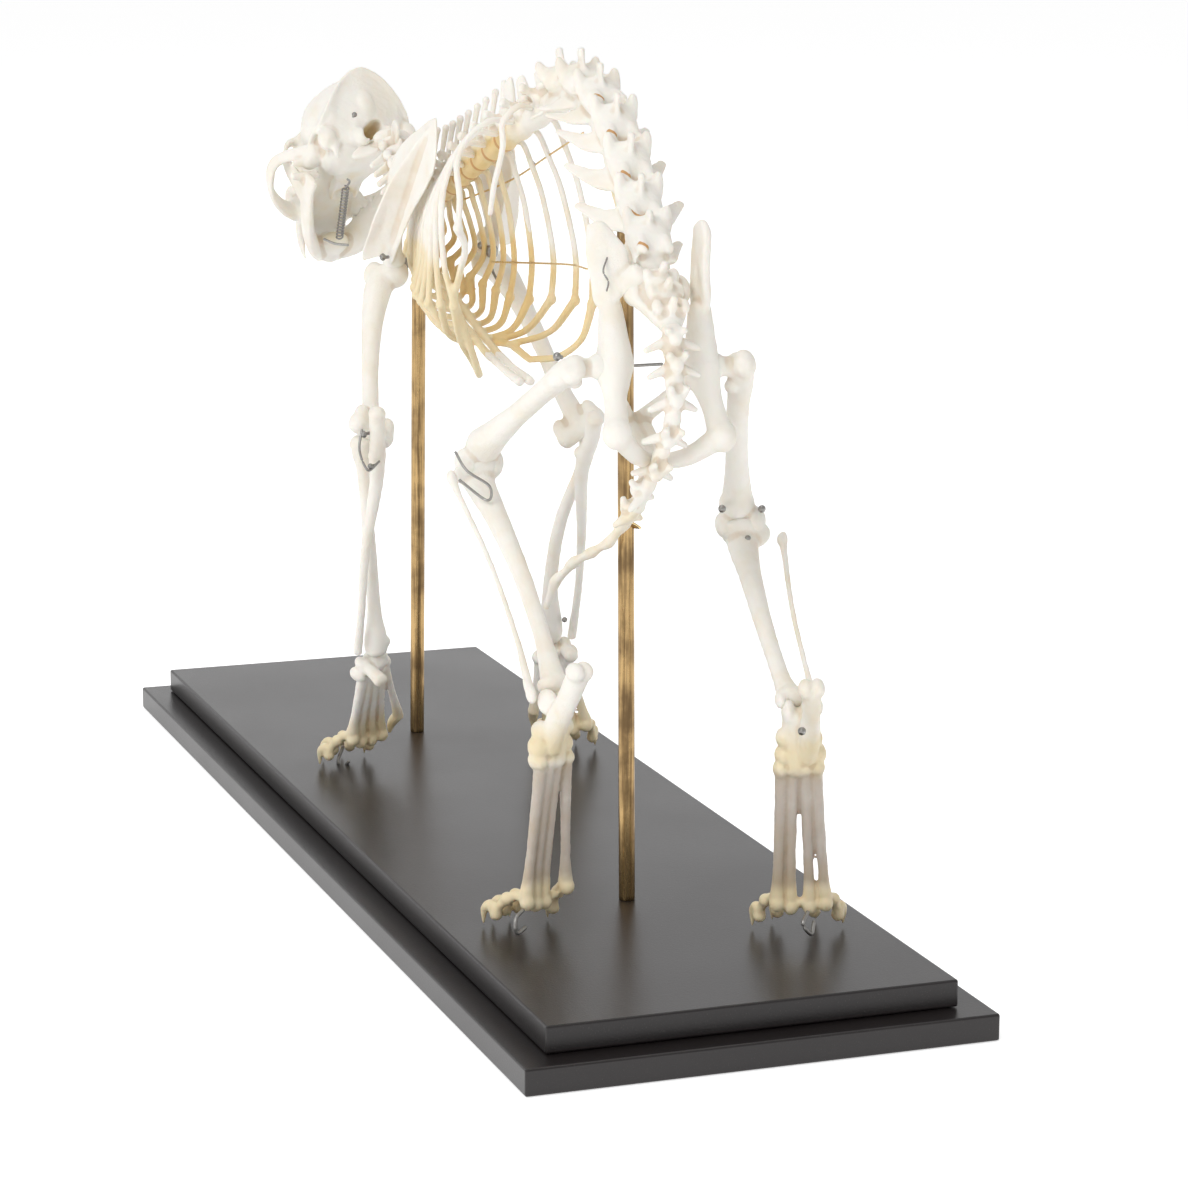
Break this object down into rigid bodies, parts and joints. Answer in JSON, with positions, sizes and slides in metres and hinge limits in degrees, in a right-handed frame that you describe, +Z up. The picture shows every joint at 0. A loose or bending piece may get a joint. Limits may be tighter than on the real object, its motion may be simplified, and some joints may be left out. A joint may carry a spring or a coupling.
{
  "type": "mounted cat skeleton",
  "caption": "Mounted skeleton of a domestic cat in a walking stance, head lowered, held by two brass rods on a dark two-tier display base.",
  "frame": {"origin": "centre of the underside of the base", "axes": "+X towards the cat's head along the base, +Y to the cat's left, +Z up"},
  "size_m": [0.6, 0.1846, 0.3505],
  "materials": {
    "bone": "dry ivory bone with a faint sheen",
    "rib_bone": "ivory bone with yellow translucent cartilage",
    "aged_brass": "aged satin",
    "dark_base": "black satin lacquer"
  },
  "bodies": {
    "root": {"stand_base_lower": "dark_base", "stand_base_upper": "dark_base", "stand_rod_front": "aged_brass", "stand_rod_rear": "aged_brass", "skull": "bone", "mandible": "bone", "cervical_vertebrae": "bone", "thoracic_vertebrae": "bone", "lumbar_vertebrae": "bone", "sacrum": "bone", "tail_upper": "bone", "tail_lower": "bone", "rib_cage_left": "rib_bone", "rib_cage_right": "rib_bone", "floating_rib_left": "rib_bone", "floating_rib_right": "rib_bone", "scapula_left": "bone", "scapula_right": "bone", "humerus_left": "bone", "humerus_right": "bone", "radius_left": "bone", "radius_right": "bone", "ulna_left": "bone", "ulna_right": "bone", "forepaw_left": "bone", "forepaw_right": "bone", "pelvis": "bone", "femur_left": "bone", "femur_right": "bone", "tibia_left": "bone", "tibia_right": "bone", "fibula_left": "bone", "fibula_right": "bone", "hindpaw_left": "bone", "hindpaw_right": "bone"}
  },
  "joints": []
}
